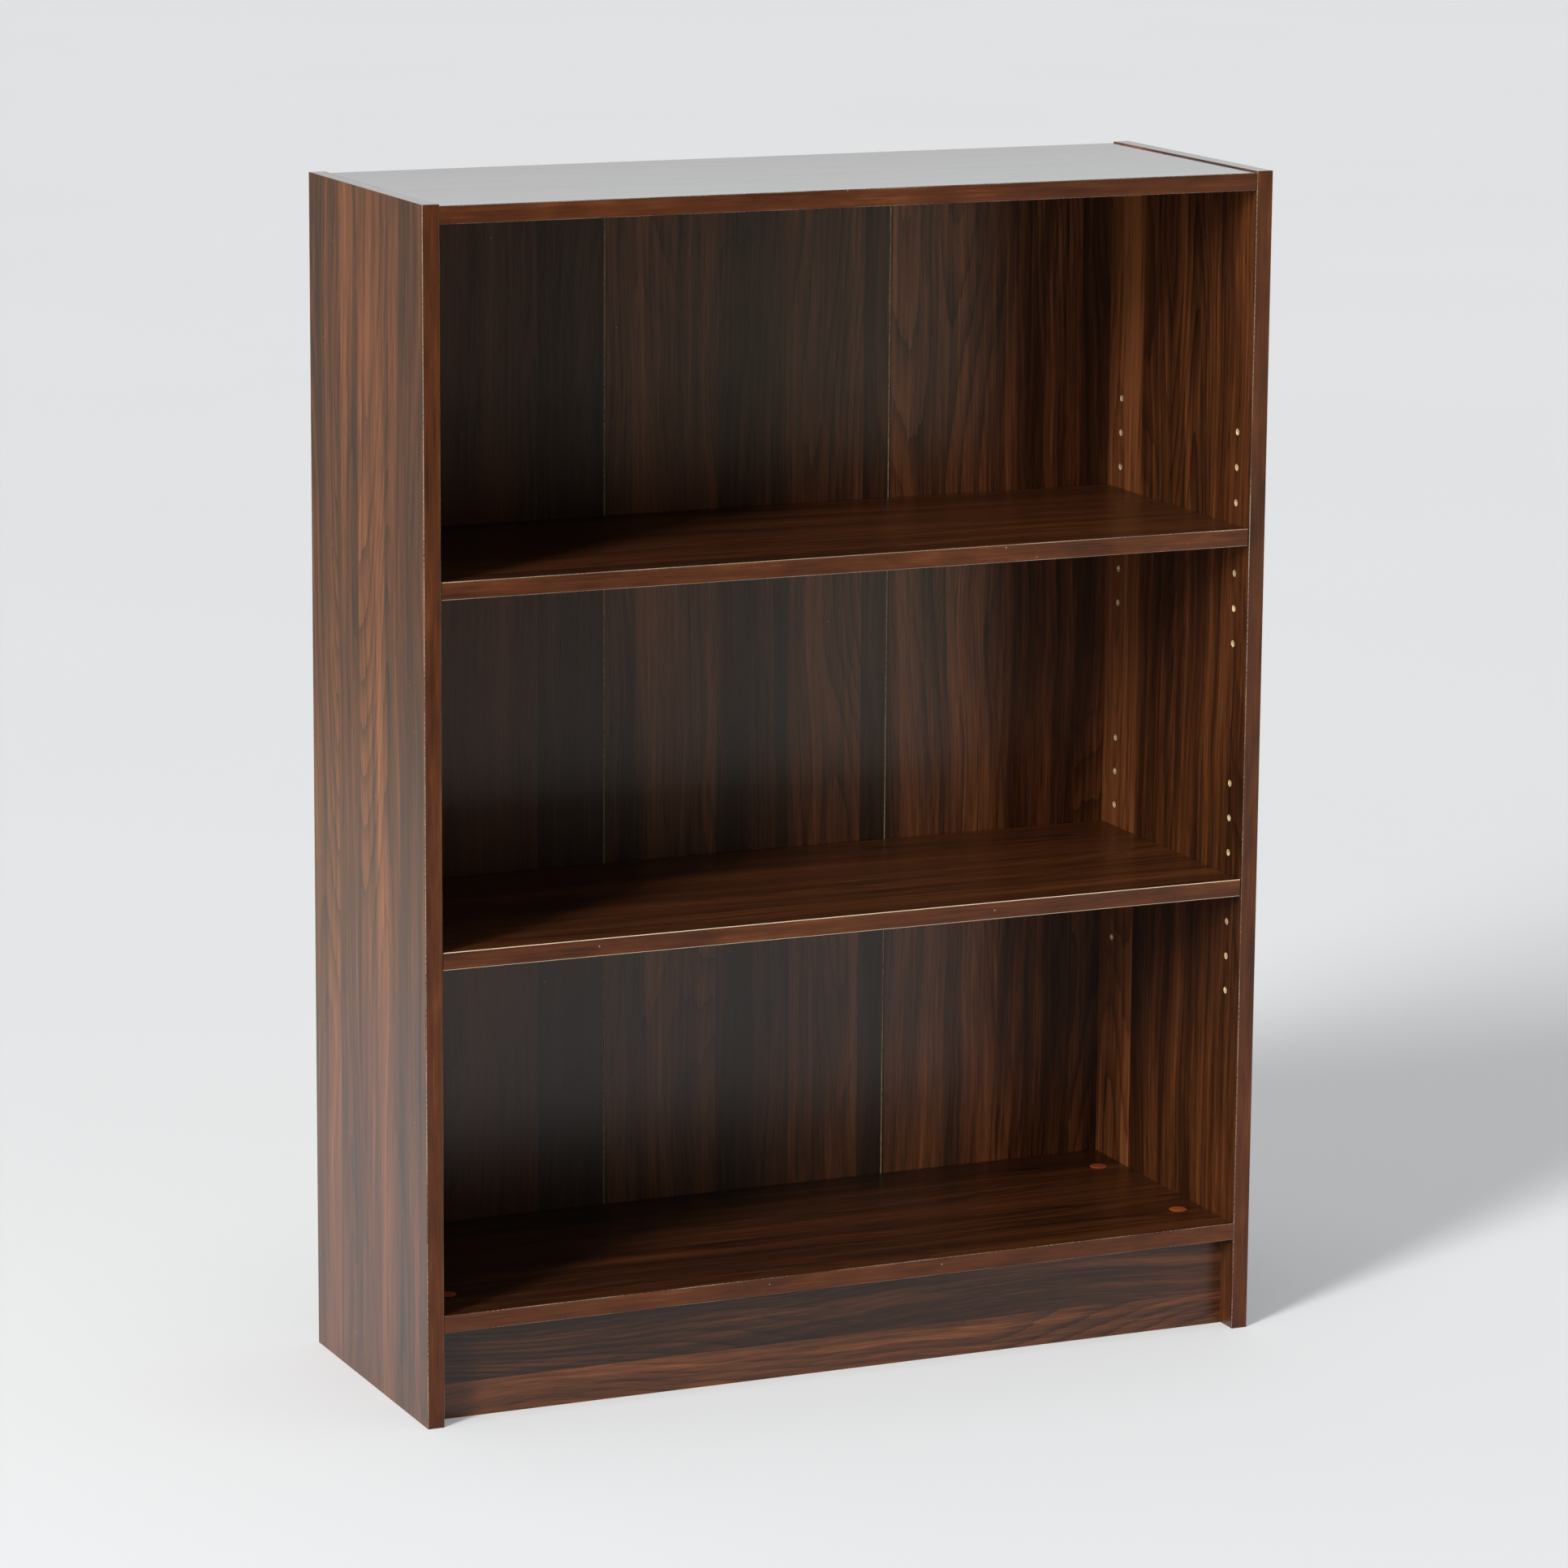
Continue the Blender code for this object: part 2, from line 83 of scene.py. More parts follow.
BODY_OF = {
    node: body
    for body, nodes in frame["record"]["behaviour"]["bodies"].items()
    for node in nodes
}
JOINTS = {joint["name"]: joint for joint in frame["joints"]}
SIDES = {"left": -1, "right": 1}
ROWS = ("lower", "upper")
COLUMNS = ("front", "rear")
AXES = {"X": 0, "Y": 1, "Z": 2}


# ---------------------------------------------------------------- node tree helpers


class Tree:
    """A material's node tree, with short calls for the nodes that these finishes use.

    A value passed to a call is a number or another node's output.
    """

    def __init__(self, name):
        self.material = bpy.data.materials.new(name)
        self.material.use_nodes = True
        self.nodes = self.material.node_tree.nodes
        self.links = self.material.node_tree.links
        self.shader = self.nodes["Principled BSDF"]
        self.where = self.nodes.new("ShaderNodeTexCoord").outputs["Object"]
        self.axes = None

    def put(self, socket, value):
        if isinstance(value, bpy.types.NodeSocket):
            self.links.new(value, socket)
        else:
            socket.default_value = value

    def math(self, operation, first, second=0.0, third=0.0, clamp=False):
        node = self.nodes.new("ShaderNodeMath")
        node.operation = operation
        node.use_clamp = clamp
        for socket, value in zip(node.inputs, (first, second, third)):
            self.put(socket, value)
        return node.outputs[0]

    def add(self, first, second):
        return self.math("ADD", first, second)

    def scale(self, first, second):
        return self.math("MULTIPLY", first, second)

    def spread(self, value, amount):
        """value, which is about 0.5, turned into about 0 and scaled."""
        return self.math("MULTIPLY_ADD", value, amount, -0.5 * amount)

    def axis(self, name):
        """One coordinate of the point, in metres."""
        if self.axes is None:
            self.axes = self.nodes.new("ShaderNodeSeparateXYZ")
            self.links.new(self.where, self.axes.inputs[0])
        return self.axes.outputs[name]

    def grain_axes(self, along, across, seed):
        """The places across and along the grain, and a third one that goes with the seed."""
        third = ({"X", "Y", "Z"} - {along, across}).pop()
        layer = self.math("MULTIPLY_ADD", self.axis(third), LAYER_SCALE, seed)
        return self.axis(across), self.axis(along), layer

    def vector(self, x, y, z):
        node = self.nodes.new("ShaderNodeCombineXYZ")
        for socket, value in zip(node.inputs, (x, y, z)):
            self.put(socket, value)
        return node.outputs[0]

    def noise(self, vector, detail=2.0, roughness=0.5):
        node = self.nodes.new("ShaderNodeTexNoise")
        self.put(node.inputs["Vector"], vector)
        node.inputs["Scale"].default_value = 1.0
        node.inputs["Detail"].default_value = detail
        node.inputs["Roughness"].default_value = roughness
        return node.outputs["Fac"]

    def grit(self, scale, detail=2.0):
        """Mottling that is alike in every direction."""
        node = self.nodes.new("ShaderNodeTexNoise")
        self.put(node.inputs["Vector"], self.where)
        node.inputs["Scale"].default_value = scale
        node.inputs["Detail"].default_value = detail
        return node.outputs["Fac"]

    def first_channel(self, colour):
        """One number from a grey or a random colour."""
        split = self.nodes.new("ShaderNodeSeparateColor")
        self.links.new(colour, split.inputs[0])
        return split.outputs[0]

    def cells(self, position):
        """A random value for each stretch of a line, with sharp steps between them."""
        node = self.nodes.new("ShaderNodeTexVoronoi")
        node.voronoi_dimensions = "1D"
        self.put(node.inputs["W"], position)
        node.inputs["Scale"].default_value = 1.0
        return self.first_channel(node.outputs["Color"])

    def staves(self, position, starts):
        """The tone of each strip, with sharp steps between them."""
        position = self.math("MULTIPLY_ADD", position, 1.0 / STAVE_SPAN, 0.5)
        stops = [(start / STAVE_SPAN + 0.5, (tone, tone, tone)) for start, tone in starts]
        return self.first_channel(self.ramp(position, stops, "CONSTANT"))

    def specks(self, size, share, radius):
        """1 in a few small spots: in this share of cells of this size, within this radius."""
        node = self.nodes.new("ShaderNodeTexVoronoi")
        self.links.new(self.where, node.inputs["Vector"])
        node.inputs["Scale"].default_value = 1.0 / size
        chosen = self.math("GREATER_THAN", self.first_channel(node.outputs["Color"]), 1.0 - share)
        near = self.math("LESS_THAN", node.outputs["Distance"], radius / size)
        return self.scale(chosen, near)

    def ramp(self, value, stops, interpolation="LINEAR"):
        """The colour at this value, from (position, colour) stops."""
        node = self.nodes.new("ShaderNodeValToRGB")
        self.put(node.inputs[0], value)
        node.color_ramp.interpolation = interpolation
        elements = node.color_ramp.elements
        while len(elements) < len(stops):
            elements.new(0.5)
        for element, (position, colour) in zip(elements, stops):
            element.position = position
            element.color = (*colour, 1.0)
        return node.outputs["Color"]

    def range(self, value, low, high, new_low=0.0, new_high=1.0):
        node = self.nodes.new("ShaderNodeMapRange")
        for socket, number in zip(node.inputs, (value, low, high, new_low, new_high)):
            self.put(socket, number)
        return node.outputs[0]

    def mix(self, factor, first, second):
        """first where the factor is 0 and second where it is 1."""
        node = self.nodes.new("ShaderNodeMix")
        node.data_type = "RGBA"
        self.put(node.inputs[0], factor)
        for socket, value in zip(node.inputs[6:8], (first, second)):
            is_colour = isinstance(value, tuple)
            self.put(socket, (*value, 1.0) if is_colour else value)
        return node.outputs[2]

    def bump(self, height, depth):
        """Raises the surface by up to depth metres where height is 1."""
        node = self.nodes.new("ShaderNodeBump")
        node.inputs["Strength"].default_value = 1.0
        node.inputs["Distance"].default_value = depth
        self.put(node.inputs["Height"], height)
        self.put(self.shader.inputs["Normal"], node.outputs[0])

    def finish(self, colour, roughness, metallic=0.0, specular=0.5, coat=0.0):
        """Sets the shader's main values, and gives the material."""
        self.put(self.shader.inputs["Base Color"], colour)
        self.put(self.shader.inputs["Roughness"], roughness)
        self.shader.inputs["Metallic"].default_value = metallic
        self.shader.inputs["Specular IOR Level"].default_value = specular
        self.shader.inputs["Coat Weight"].default_value = coat
        self.shader.inputs["Coat Roughness"].default_value = COAT_ROUGHNESS
        return self.material


# ---------------------------------------------------------------- finishes

WALNUT = (
    (0.00, (0.014, 0.0042, 0.0014)),
    (0.28, (0.040, 0.0122, 0.0038)),
    (0.50, (0.092, 0.0275, 0.0078)),
    (0.72, (0.165, 0.0510, 0.0150)),
    (1.00, (0.290, 0.0980, 0.0320)),
)
EDGING = (
    (0.0, (0.045, 0.0105, 0.0024)),
    (0.5, (0.112, 0.0290, 0.0062)),
    (1.0, (0.230, 0.0720, 0.0190)),
)

SPECK = (0.40, 0.30, 0.21)
EDGING_CHIP = (0.50, 0.38, 0.26)
ARRIS_WHOLE = (0.070, 0.026, 0.013)
ARRIS_WORN = (0.84, 0.68, 0.47)
COAT_ROUGHNESS = 0.22
# Fold tape colours, the dark and pale end of each ramp. The left tape's colours are darkened with painted shade,
# standing in for the left side panel's shadow on the back; the right tape keeps its own colour.
SHADED_TAPE = ((0.100, 0.065, 0.034), (0.200, 0.135, 0.072))
UNSHADED_TAPE = ((0.37, 0.265, 0.120), (0.56, 0.420, 0.200))

# How fast a print changes with depth, from stave to stave, and how dark its growth rings are
LAYER_SCALE = 31.0
STAVE_SCALE = 37.0
RING_DEPTH = 0.30

# Where each stave of the print starts across a board, and its tone from dark to light
STAVE_SPAN = 0.90
MEAN_STAVE = 0.10
BACK_STAVES = (
    (-0.450, 0.42),
    (-0.285, 0.51),
    (-0.189, 0.20),
    (-0.122, 0.66),
    (-0.014, 0.38),
    (0.062, 0.64),
    (0.131, 0.20),
    (0.159, 0.80),
    (0.275, 0.52),
    (0.352, 0.34),
)
SIDE_STAVES = {
    "left": ((-0.450, 0.42), (-0.060, 0.57), (0.015, 0.44), (0.070, 0.57)),
    "right": ((-0.450, 0.43), (-0.065, 0.38), (0.013, 0.43), (0.068, 0.85)),
}
PLINTH_STAVES = ((-0.450, 0.62), (0.030, 0.22))

# How much of the pale line shows on each strip's corners
EDGE_WEAR = {"top": 0.10, "bottom": 0.14, "upper_shelf": 0.36, "lower_shelf": 1.05}


def walnut(
    name, along, across, seed, tone, steps, staves=MEAN_STAVE, contrast=1.0, specular=0.6, coat=0.0
):
    """Walnut print: straight staves, each with its own tone, figure, streaks, fibres and pores.

    along and across are the axes of the grain. tone lightens the whole print, and steps is how much
    the staves differ. staves is their mean width, or the (start, tone) of each.
    """
    tree = Tree(name)
    u, v, layer = tree.grain_axes(along, across, seed)
    if isinstance(staves, tuple):
        stave_tone = tree.staves(u, staves)
    else:
        start = tree.math("FLOOR", layer)
        stave_tone = tree.cells(tree.math("MULTIPLY_ADD", u, 1.0 / staves, start))
    own = tree.math("MULTIPLY_ADD", stave_tone, STAVE_SCALE, layer)

    def grain(across_scale, along_scale, detail, roughness=0.55):
        place = tree.vector(tree.scale(bent, across_scale), tree.scale(v, along_scale), own)
        return tree.noise(place, detail, roughness)

    wander = tree.noise(tree.vector(tree.scale(u, 4.0), tree.scale(v, 2.2), own), 2.0)
    bent = tree.add(u, tree.spread(wander, 0.040))
    field = grain(7.5, 0.9, 1.0, 0.4)
    band = grain(32.0, 1.4, 2.0)
    streak = grain(110.0, 2.6, 3.0, 0.65)
    thread = grain(300.0, 6.5, 2.0, 0.6)
    fibre = grain(700.0, 18.0, 2.0, 0.65)
    pore = tree.range(grain(1100.0, 50.0, 1.0), 0.57, 0.68)
    ring_place = tree.add(tree.scale(field, 38.0), tree.scale(streak, 0.7))
    ring = tree.math("POWER", tree.math("FRACT", ring_place), 3.0)
    clear = tree.range(grain(6.0, 1.6, 1.0), 0.40, 0.60)
    shade = tree.add(0.50 + tone, tree.spread(stave_tone, steps))
    for part, weight in ((band, 1.05), (streak, 0.80), (thread, 0.60), (fibre, 0.62)):
        shade = tree.add(shade, tree.spread(part, weight * contrast))
    shade = tree.add(shade, tree.scale(tree.scale(ring, -RING_DEPTH * contrast), clear))
    shade = tree.math("MULTIPLY_ADD", pore, -0.12 * contrast, shade, clamp=True)
    colour = tree.ramp(shade, WALNUT)
    colour = tree.mix(tree.specks(0.010, 0.010, 0.0005), colour, SPECK)
    tree.bump(tree.math("MULTIPLY_ADD", pore, -0.6, fibre), 0.00003)
    rough = tree.math("MULTIPLY_ADD", fibre, 0.14, 0.24)
    return tree.finish(colour, rough, specular=specular, coat=coat)


def edging(name, along, across, seed, tone, coat=0.0):
    """Melamine edging: redder than the faces, with paler patches, fine streaks and a few chips."""
    tree = Tree(name)
    u, v, layer = tree.grain_axes(along, across, seed)

    def grain(across_scale, along_scale, detail, roughness):
        place = tree.vector(tree.scale(u, across_scale), tree.scale(v, along_scale), layer)
        return tree.noise(place, detail, roughness)

    patch = grain(45.0, 11.0, 3.0, 0.6)
    streak = grain(240.0, 9.0, 3.0, 0.65)
    fibre = grain(800.0, 26.0, 2.0, 0.65)
    shade = tree.add(0.37 + tone, tree.spread(patch, 1.20))
    shade = tree.add(shade, tree.spread(streak, 0.80))
    shade = tree.math("ADD", shade, tree.spread(fibre, 0.60), clamp=True)
    colour = tree.ramp(shade, EDGING)
    colour = tree.mix(tree.specks(0.006, 0.020, 0.0006), colour, EDGING_CHIP)
    tree.bump(fibre, 0.00003)
    rough = tree.math("MULTIPLY_ADD", streak, 0.20, 0.28)
    return tree.finish(colour, rough, specular=0.28, coat=coat)


def arris(name, along, seed, wear):
    """The trimmed corner of the edging: the pale paper and glue show where it is worn through."""
    tree = Tree(name)
    v = tree.axis(along)
    broad = tree.noise(tree.vector(tree.scale(v, 9.0), seed, 0.0), 3.0, 0.6)
    fine = tree.noise(tree.vector(tree.scale(v, 420.0), seed, 3.0), 2.0, 0.6)
    amount = tree.add(tree.spread(broad, 1.3), tree.spread(fine, 0.9))
    amount = tree.math("ADD", amount, wear, clamp=True)
    colour = tree.mix(amount, ARRIS_WHOLE, ARRIS_WORN)
    tree.bump(fine, 0.0001)
    return tree.finish(colour, tree.math("MULTIPLY_ADD", fine, 0.2, 0.40))


def chipboard(name, seed, pale=1.0):
    """Raw chipboard: pale flakes of wood. pale brightens a freshly drilled face."""
    tree = Tree(name)
    flake = tree.nodes.new("ShaderNodeTexVoronoi")
    tree.put(flake.inputs["Vector"], tree.where)
    flake.inputs["Scale"].default_value = 620.0
    tone = tree.first_channel(flake.outputs["Color"])
    shade = tree.add(tree.scale(tone, 0.65), tree.scale(tree.grit(2400.0 + seed), 0.45))
    flakes = ((0.1, (0.34, 0.24, 0.12)), (0.5, (0.60, 0.46, 0.26)), (0.9, (0.76, 0.64, 0.40)))
    stops = [(place, tuple(min(0.95, pale * part) for part in colour)) for place, colour in flakes]
    tree.bump(shade, 0.0002)
    return tree.finish(tree.ramp(shade, stops), 0.85, specular=0.2)


def hardboard(name):
    """The back's unprinted rear face: smooth brown fibre board."""
    tree = Tree(name)
    x, z = tree.axis("X"), tree.axis("Z")
    cloud = tree.noise(tree.vector(tree.scale(x, 9.0), 0.0, tree.scale(z, 9.0)), 4.0, 0.6)
    hair = tree.noise(tree.vector(tree.scale(x, 900.0), 1.0, tree.scale(z, 700.0)), 3.0, 0.7)
    shade = tree.add(tree.scale(cloud, 0.55), tree.scale(hair, 0.45))
    stops = (
        (0.30, (0.20, 0.115, 0.055)),
        (0.50, (0.30, 0.185, 0.095)),
        (0.70, (0.40, 0.260, 0.145)),
    )
    tree.bump(hair, 0.00008)
    return tree.finish(tree.ramp(shade, stops), 0.72, specular=0.3)


def paper_tape(name, low, high):
    """Kraft paper tape with long fibres, between a dark and a pale brown."""
    tree = Tree(name)
    x, z = tree.axis("X"), tree.axis("Z")
    fibre = tree.noise(tree.vector(tree.scale(x, 1300.0), 0.0, tree.scale(z, 260.0)), 3.0, 0.7)
    cloud = tree.noise(tree.vector(tree.scale(x, 40.0), 0.0, tree.scale(z, 7.0)), 3.0, 0.6)
    shade = tree.add(tree.scale(fibre, 0.5), tree.scale(cloud, 0.5))
    colour = tree.ramp(shade, ((0.30, low), (0.70, high)))
    tree.bump(shade, 0.0002)
    return tree.finish(colour, 0.78, specular=0.25)


def metal(name, colour, roughness, grain, depth):
    """A plated or cast metal: a mottled tone and roughness, and a fine surface."""
    tree = Tree(name)
    fine = tree.grit(grain, 4.0)
    dark = tuple(0.72 * part for part in colour)
    tree.bump(fine, depth)
    mottled = tree.ramp(fine, ((0.30, dark), (0.65, colour)))
    rough = tree.range(fine, 0.3, 0.7, roughness - 0.08, roughness + 0.10)
    return tree.finish(mottled, rough, metallic=1.0)


def cap_plastic(name):
    """Moulded red-brown plastic with a fine spark finish."""
    tree = Tree(name)
    fine = tree.grit(2600.0)
    tree.bump(fine, 0.00006)
    stops = ((0.3, (0.280, 0.055, 0.014)), (0.7, (0.400, 0.088, 0.024)))
    rough = tree.range(fine, 0.3, 0.7, 0.34, 0.50)
    return tree.finish(tree.ramp(fine, stops), rough)


def beech(name):
    """Raw beech, its grain along the dowel."""
    tree = Tree(name)
    scales = {"X": 60.0, "Y": 1500.0, "Z": 1500.0}
    place = tree.vector(*(tree.scale(tree.axis(axis), scale) for axis, scale in scales.items()))
    grain = tree.noise(place, 3.0)
    tree.bump(grain, 0.0001)
    stops = ((0.35, (0.40, 0.24, 0.12)), (0.65, (0.62, 0.43, 0.25)))
    return tree.finish(tree.ramp(grain, stops), 0.70, specular=0.3)


# ---------------------------------------------------------------- mesh helpers


def box_of(node):
    low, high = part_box(node)
    return low.copy(), high.copy()


def centre_of(node):
    low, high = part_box(node)
    return (low + high) / 2


def new_piece(name, bm, materials):
    mesh = bpy.data.meshes.new(name)
    bm.to_mesh(mesh)
    bm.free()
    for material in materials:
        mesh.materials.append(material)
    piece = bpy.data.objects.new(name, mesh)
    bpy.context.scene.collection.objects.link(piece)
    return piece


def settle(piece, node):
    """The piece rides with the body of the CAD node that it stands for, and that node is hidden."""
    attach(piece, BODY_OF[node])
    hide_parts(node)


def add_block(bm, low, high):
    size = Matrix.Diagonal((*(high - low), 1.0))
    place = Matrix.Translation((low + high) / 2) @ size
    bmesh.ops.create_cube(bm, size=1.0, matrix=place)


def add_cylinder(bm, start, end, radius):
    start, end = Vector(start), Vector(end)
    along = end - start
    turn = along.to_track_quat("Z", "Y").to_matrix().to_4x4()
    bmesh.ops.create_cone(
        bm,
        cap_ends=True,
        segments=HOLE_STEPS,
        radius1=radius,
        radius2=radius,
        depth=along.length,
        matrix=Matrix.Translation((start + end) / 2) @ turn,
    )


def add_groove(bm, inner, outer, y, half, low_z, high_z):
    """A groove's space along X, with a round inner end and a square outer one."""
    away = math.copysign(1.0, outer - inner)
    outline = []
    for i in range(GROOVE_END_STEPS + 1):
        angle = math.pi * (0.5 + i / GROOVE_END_STEPS)
        outline.append((inner + away * half * math.cos(angle), y + half * math.sin(angle)))
    outline += [(outer, y - half), (outer, y + half)]
    floor, ceiling = ([bm.verts.new((*point, z)) for point in outline] for z in (low_z, high_z))
    bm.faces.new(floor)
    bm.faces.new(ceiling)
    for i in range(len(outline)):
        bm.faces.new((floor[i - 1], floor[i], ceiling[i], ceiling[i - 1]))
    bmesh.ops.recalc_face_normals(bm, faces=bm.faces)


def board_mesh(low, high, slot_of_normal, width=ARRIS):
    """A board with softened corners. slot_of_normal gives each face its material's number."""
    bm = bmesh.new()
    add_block(bm, low, high)
    for face in bm.faces:
        face.material_index = slot_of_normal(face.normal)
    bmesh.ops.bevel(bm, geom=list(bm.edges), offset=width, segments=2, affect="EDGES", material=-1)
    return bm


def cut(piece, cutters):
    """Cuts the piece with each mesh in turn. What a cutter leaves takes the cutter's material."""
    helpers = []
    for bm, material in cutters:
        helper = new_piece("cutter", bm, [material])
        helpers.append(helper)
        boolean = piece.modifiers.new("Cut", "BOOLEAN")
        boolean.operation = "DIFFERENCE"
        boolean.solver = "EXACT"
        boolean.material_mode = "TRANSFER"
        boolean.object = helper
    apply_modifiers(piece)
    for helper in helpers:
        bpy.data.objects.remove(helper, do_unlink=True)


def apply_modifiers(piece):
    bpy.context.view_layer.update()
    evaluated = piece.evaluated_get(bpy.context.evaluated_depsgraph_get())
    mesh = bpy.data.meshes.new_from_object(evaluated)
    piece.modifiers.clear()
    piece.data = mesh


def smooth(piece, degrees=35):
    piece.data.shade_smooth()
    piece.data.set_sharp_from_angle(angle=math.radians(degrees))


def lathe(outline, steps):
    """A closed turned form about Z, from (radius, height) points, both ends on the axis."""
    bm = bmesh.new()
    verts = [bm.verts.new((radius, 0, height)) for radius, height in outline]
    edges = [bm.edges.new(pair) for pair in zip(verts, verts[1:])]
    bmesh.ops.spin(bm, geom=verts + edges, axis=(0, 0, 1), angle=2 * math.pi, steps=steps)
    bmesh.ops.remove_doubles(bm, verts=bm.verts, dist=1e-7)
    bmesh.ops.recalc_face_normals(bm, faces=bm.faces)
    return bm


def towards_side(hand, place):
    """The placing that lays a form's +Z towards the side panel on that hand, at a point."""
    return Matrix.Translation(place) @ Matrix.Rotation(hand * math.pi / 2, 4, "Y")


def add_turned(bm, outline, place, steps):
    """A turned form, placed by a matrix and added to a mesh in the making."""
    form = lathe(outline, steps)
    bmesh.ops.transform(form, matrix=place, verts=form.verts)
    mesh = bpy.data.meshes.new("form")
    form.to_mesh(mesh)
    form.free()
    bm.from_mesh(mesh)
    bpy.data.meshes.remove(mesh)


# ---------------------------------------------------------------- boards


def pin_holes():
    """The (y, z) of a side panel's pin holes: those at rest, repeated over the joints' range."""
    holes = []
    for row in ROWS:
        low, high = JOINTS[f"{row}_shelf_height"]["range_m"]
        count = round((high - low) / HOLE_PITCH) + 1
        for column in COLUMNS:
            centre = centre_of(f"shelf_pin_{row}_{column}_left")
            holes += [(centre.y, centre.z + low + i * HOLE_PITCH) for i in range(count)]
    return holes


def fastener_holes(side):
    """The (y, z, radius, depth) of the holes for the bolts and dowels in a side panel."""
    holes = []
    for node in frame["nodes"]:
        if not node.endswith(side) or not node.startswith(("cam_bolt", "dowel", "plinth_dowel")):
            continue
        low, high = box_of(node)
        radius = BOLT_THREAD_RADIUS if node.startswith("cam_bolt") else (high.z - low.z) / 2
        panel_low, panel_high = box_of(f"{side}_side_panel")
        depth = (panel_high.x - low.x) if side == "left" else (high.x - panel_low.x)
        centre = (low + high) / 2
        holes.append((centre.y, centre.z, radius + CLEARANCE, depth + SLACK))
    return holes


def make_side_panel(side, hand):
    """An upright board with its pin holes and the holes for its bolts and dowels."""
    node = f"{side}_side_panel"
    low, high = box_of(node)
    face = high.x if hand < 0 else low.x

    def slot_of_normal(normal):
        if abs(normal.x) > 0.5:
            return 0
        return 1 if normal.z > 0.5 else 2

    tone = 0.02 - 0.02 * hand
    seed = 22.0 + 19.0 * hand
    staves = SIDE_STAVES[side]
    faces = walnut(f"side_print_{side}", "Z", "Y", seed, tone, 0.80, staves, specular=0.55)
    top = edging(f"side_top_{side}", "Y", "X", 5.0 + hand, 0.15, coat=1.0)
    raw = chipboard(f"side_core_{side}", hand)
    drilled = chipboard(f"side_drilled_{side}", hand, pale=1.3)
    bm = board_mesh(low, high, slot_of_normal)
    piece = new_piece(f"{side}_side_board", bm, [faces, top, raw])
    hole_outline = [
        (0, PIN_HOLE_DEPTH),
        (PIN_HOLE_RADIUS, PIN_HOLE_DEPTH),
        (PIN_HOLE_RADIUS, HOLE_CHAMFER),
        (PIN_HOLE_RADIUS + 2 * HOLE_CHAMFER, -HOLE_CHAMFER),
        (0, -HOLE_CHAMFER),
    ]
    holes, bores = bmesh.new(), bmesh.new()
    for y, z in pin_holes():
        add_turned(holes, hole_outline, towards_side(hand, (face, y, z)), HOLE_STEPS)
    for y, z, radius, depth in fastener_holes(side):
        add_cylinder(bores, (face - hand * CUT_PAST, y, z), (face + hand * depth, y, z), radius)
    cut(piece, [(holes, drilled), (bores, raw)])
    settle(piece, node)


def make_edging(node, along, seed, wear, core, tone=0.0):
    """An edging strip with worn corners, reaching back over the glue gap to its board, the core."""
    low, high = box_of(node)
    high.y = box_of(core)[0].y
    across = "X" if along == "Z" else "Z"
    front = edging(f"{node}_face", along, across, seed, tone)
    corner = arris(f"{node}_corner", along, seed, wear)
    bm = bmesh.new()
    add_block(bm, low, high)
    long_front = [
        edge
        for edge in bm.edges
        if all(vert.co.y < low.y + TINY for vert in edge.verts)
        and abs((edge.verts[0].co - edge.verts[1].co)[AXES[along]]) > TINY
    ]
    chamfer = EDGING_CHAMFER * (high.y - low.y)
    bmesh.ops.bevel(bm, geom=long_front, offset=chamfer, segments=1, affect="EDGES", material=1)
    settle(new_piece(f"{node}_strip", bm, [front, corner]), node)


def cam_nodes(level):
    return [f"cam_{level}_{column}_{side}" for column in COLUMNS for side in SIDES]


def end_holes(bm, low, high, nodes):
    """Holes in the ends of a board for the fasteners that reach into it."""
    for node in nodes:
        first, last = box_of(node)
        centre = (first + last) / 2
        radius = (last.z - first.z) / 2 + CLEARANCE
        if centre.x < 0:
            start, end = low.x - CUT_PAST, last.x + SLACK
        else:
            start, end = high.x + CUT_PAST, first.x - SLACK
        add_cylinder(bm, (start, centre.y, centre.z), (end, centre.y, centre.z), radius)


def end_slot(normal):
    """Print on the two large faces, raw board on the ends and the other edges."""
    return 0 if abs(normal.z) > 0.5 else 1


def make_fixed_panel(level, facing, seed):
    """The top or bottom panel. Its cam pockets open upwards (facing 1) or downwards (-1)."""
    node = f"{level}_panel"
    low, high = box_of(node)
    print_faces = walnut(f"{level}_print", "X", "Y", seed, -0.12, 0.20, contrast=0.70, specular=0.5)
    raw = chipboard(f"{level}_core", seed)
    materials = [print_faces, raw]
    if level == "top":
        seed += 9.0
        gloss = walnut("top_gloss_print", "X", "Y", seed, -0.05, 0.16, contrast=0.35, coat=1.0)
        materials.append(gloss)

    def slot_of_normal(normal):
        return 2 if normal.z > 0.5 and level == "top" else end_slot(normal)

    piece = new_piece(f"{level}_board", board_mesh(low, high, slot_of_normal), materials)
    pockets, ends = bmesh.new(), bmesh.new()
    face = high.z if facing > 0 else low.z
    for cam in cam_nodes(level):
        first, last = box_of(cam)
        centre = (first + last) / 2
        radius = (last.y - first.y) / 2 + CLEARANCE
        floor = (first.z if facing > 0 else last.z) - facing * CLEARANCE
        mouth = face + facing * CUT_PAST
        add_cylinder(pockets, (centre.x, centre.y, floor), (centre.x, centre.y, mouth), radius)
    bolts = [cam.replace("cam_", "cam_bolt_", 1) for cam in cam_nodes(level)]
    dowels = [f"dowel_{level}_{column}_{side}" for column in COLUMNS for side in SIDES]
    end_holes(ends, low, high, bolts + dowels)
    cut(piece, [(pockets, raw), (ends, raw)])
    settle(piece, node)


